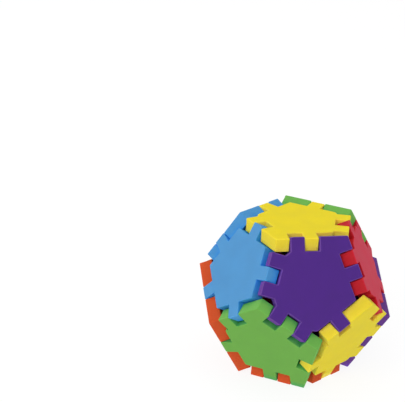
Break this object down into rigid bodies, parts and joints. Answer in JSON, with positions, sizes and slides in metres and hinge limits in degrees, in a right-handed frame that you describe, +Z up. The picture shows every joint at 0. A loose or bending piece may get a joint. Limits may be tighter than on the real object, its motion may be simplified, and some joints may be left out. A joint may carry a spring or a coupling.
{
  "type": "foam panel ball puzzle",
  "caption": "Hollow dodecahedron ball puzzle of flat foam panels in bright colours, locked together by tabs and notches along their edges, each panel pulling straight out.",
  "frame": {"origin": "centre of the base panel's outer face; the ends of its neighbours' tabs, which the ball rests on, stand 0.4 mm below it", "axes": "+Z up through the top panel's centre; -Y to the front, towards the upper row's purple panel; +X to the right seen from the front"},
  "size_m": [0.118, 0.1241, 0.1008],
  "materials": {
    "purple_foam": "matte closed-cell EVA foam sheet, die cut, with a fine pebbled skin",
    "yellow_foam": "matte closed-cell EVA foam sheet, die cut, with a fine pebbled skin",
    "blue_foam": "matte closed-cell EVA foam sheet, die cut, with a fine pebbled skin",
    "green_foam": "matte closed-cell EVA foam sheet, die cut, with a fine pebbled skin",
    "red_foam": "matte closed-cell EVA foam sheet, die cut, with a fine pebbled skin",
    "orange_foam": "matte closed-cell EVA foam sheet, die cut, with a fine pebbled skin"
  },
  "bodies": {
    "orange_base": {"orange_base_panel": "orange_foam"},
    "yellow_top": {"yellow_top_panel": "yellow_foam"},
    "purple_front": {"purple_front_panel": "purple_foam"},
    "red_right": {"red_right_panel": "red_foam"},
    "green_back": {"green_back_panel": "green_foam"},
    "blue_back": {"blue_back_panel": "blue_foam"},
    "blue_left": {"blue_left_panel": "blue_foam"},
    "yellow_low": {"yellow_low_panel": "yellow_foam"},
    "purple_low": {"purple_low_panel": "purple_foam"},
    "red_low": {"red_low_panel": "red_foam"},
    "orange_low": {"orange_low_panel": "orange_foam"},
    "green_low": {"green_low_panel": "green_foam"}
  },
  "joints": [
    {"name": "yellow_top_pull", "type": "slide", "parent": "orange_base", "child": "yellow_top", "axis": [0, 0, 1], "range_m": [0, 0.025]},
    {"name": "purple_front_pull", "type": "slide", "parent": "orange_base", "child": "purple_front", "axis": [0, -0.8944, 0.4472], "range_m": [0, 0.025]},
    {"name": "red_right_pull", "type": "slide", "parent": "orange_base", "child": "red_right", "axis": [0.8507, -0.2764, 0.4472], "range_m": [0, 0.025]},
    {"name": "green_back_pull", "type": "slide", "parent": "orange_base", "child": "green_back", "axis": [0.5257, 0.7236, 0.4472], "range_m": [0, 0.025]},
    {"name": "blue_back_pull", "type": "slide", "parent": "orange_base", "child": "blue_back", "axis": [-0.5257, 0.7236, 0.4472], "range_m": [0, 0.025]},
    {"name": "blue_left_pull", "type": "slide", "parent": "orange_base", "child": "blue_left", "axis": [-0.8507, -0.2764, 0.4472], "range_m": [0, 0.025]},
    {"name": "yellow_low_pull", "type": "slide", "parent": "orange_base", "child": "yellow_low", "axis": [0.5257, -0.7236, -0.4472], "range_m": [0, 0.025]},
    {"name": "purple_low_pull", "type": "slide", "parent": "orange_base", "child": "purple_low", "axis": [0.8507, 0.2764, -0.4472], "range_m": [0, 0.025]},
    {"name": "red_low_pull", "type": "slide", "parent": "orange_base", "child": "red_low", "axis": [0, 0.8944, -0.4472], "range_m": [0, 0.025]},
    {"name": "orange_low_pull", "type": "slide", "parent": "orange_base", "child": "orange_low", "axis": [-0.8507, 0.2764, -0.4472], "range_m": [0, 0.025]},
    {"name": "green_low_pull", "type": "slide", "parent": "orange_base", "child": "green_low", "axis": [-0.5257, -0.7236, -0.4472], "range_m": [0, 0.025]}
  ]
}
